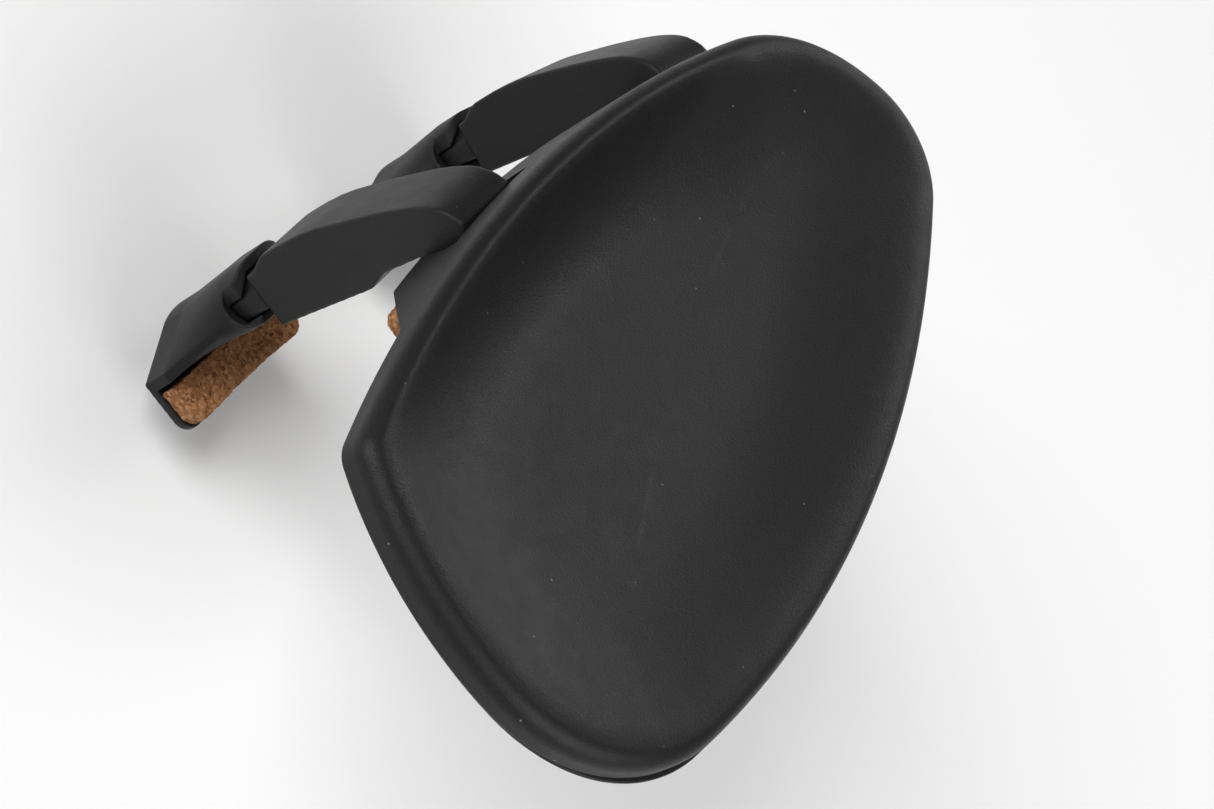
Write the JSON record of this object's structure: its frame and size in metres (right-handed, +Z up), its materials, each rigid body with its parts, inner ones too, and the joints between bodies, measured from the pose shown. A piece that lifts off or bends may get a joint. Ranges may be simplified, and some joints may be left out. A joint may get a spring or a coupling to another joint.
{
  "type": "violin chinrest",
  "caption": "Side-mounted violin chinrest: dished black plate, cork-lined rail and twin rocking arms with telescoping screw-clamped cork jaws.",
  "frame": {"origin": "middle of the rail cork's lower face, where the rest bears on the violin's top edge", "axes": "+Z up out of the violin's top, -Y towards the player's neck, +X towards the plate's sharp corner by the tailpiece"},
  "size_m": [0.119, 0.0736, 0.0603],
  "materials": {
    "black_plastic": "fine satin moulded grain",
    "cork": "fine agglomerated cork granules, unsealed",
    "screw_steel": "plain machined",
    "pin_steel": "ground",
    "insert_brass": "turned"
  },
  "bodies": {
    "rest": {"chin_plate": "black_plastic", "lower_shell": "black_plastic", "clamp_rail": "black_plastic", "rail_cork": "cork", "rail_screws": "screw_steel", "shell_screws": "screw_steel", "hinge_pin_left": "pin_steel", "hinge_pin_right": "pin_steel"},
    "arm_left": {"arm_left": "black_plastic", "thread_insert_left": "insert_brass"},
    "foot_left": {"foot_left": "black_plastic", "jaw_cork_left": "cork", "thrust_washer_left": "pin_steel"},
    "screw_left": {"clamp_screw_left": "screw_steel", "retaining_clip_left": "pin_steel"},
    "arm_right": {"arm_right": "black_plastic", "thread_insert_right": "insert_brass"},
    "foot_right": {"foot_right": "black_plastic", "jaw_cork_right": "cork", "thrust_washer_right": "pin_steel"},
    "screw_right": {"clamp_screw_right": "screw_steel", "retaining_clip_right": "pin_steel"}
  },
  "joints": [
    {"name": "arm_rock_left", "type": "hinge", "parent": "rest", "child": "arm_left", "pos_m": [-0.02213, 0.00008, 0.0066], "axis": [0.9947, -0.1028, 0], "range_deg": [-3, 3]},
    {"name": "foot_slide_left", "type": "slide", "parent": "arm_left", "child": "foot_left", "axis": [0, 0, -1], "range_m": [-0.0008, 0.005]},
    {"name": "screw_turn_left", "type": "hinge", "parent": "foot_left", "child": "screw_left", "pos_m": [-0.02325, -0.01076, -0.0369], "axis": [0, 0, -1], "range_deg": [-576, 3600]},
    {"name": "arm_rock_right", "type": "hinge", "parent": "rest", "child": "arm_right", "pos_m": [0.02213, 0.00008, 0.0066], "axis": [0.9947, 0.1028, 0], "range_deg": [-3, 3]},
    {"name": "foot_slide_right", "type": "slide", "parent": "arm_right", "child": "foot_right", "axis": [0, 0, -1], "range_m": [-0.0008, 0.005]},
    {"name": "screw_turn_right", "type": "hinge", "parent": "foot_right", "child": "screw_right", "pos_m": [0.02325, -0.01076, -0.0369], "axis": [0, 0, -1], "range_deg": [-576, 3600]}
  ],
  "couplings": [
    {"joint": "screw_turn_left", "follows": "foot_slide_left", "rad_per_m": 12566},
    {"joint": "screw_turn_right", "follows": "foot_slide_right", "rad_per_m": 12566}
  ]
}
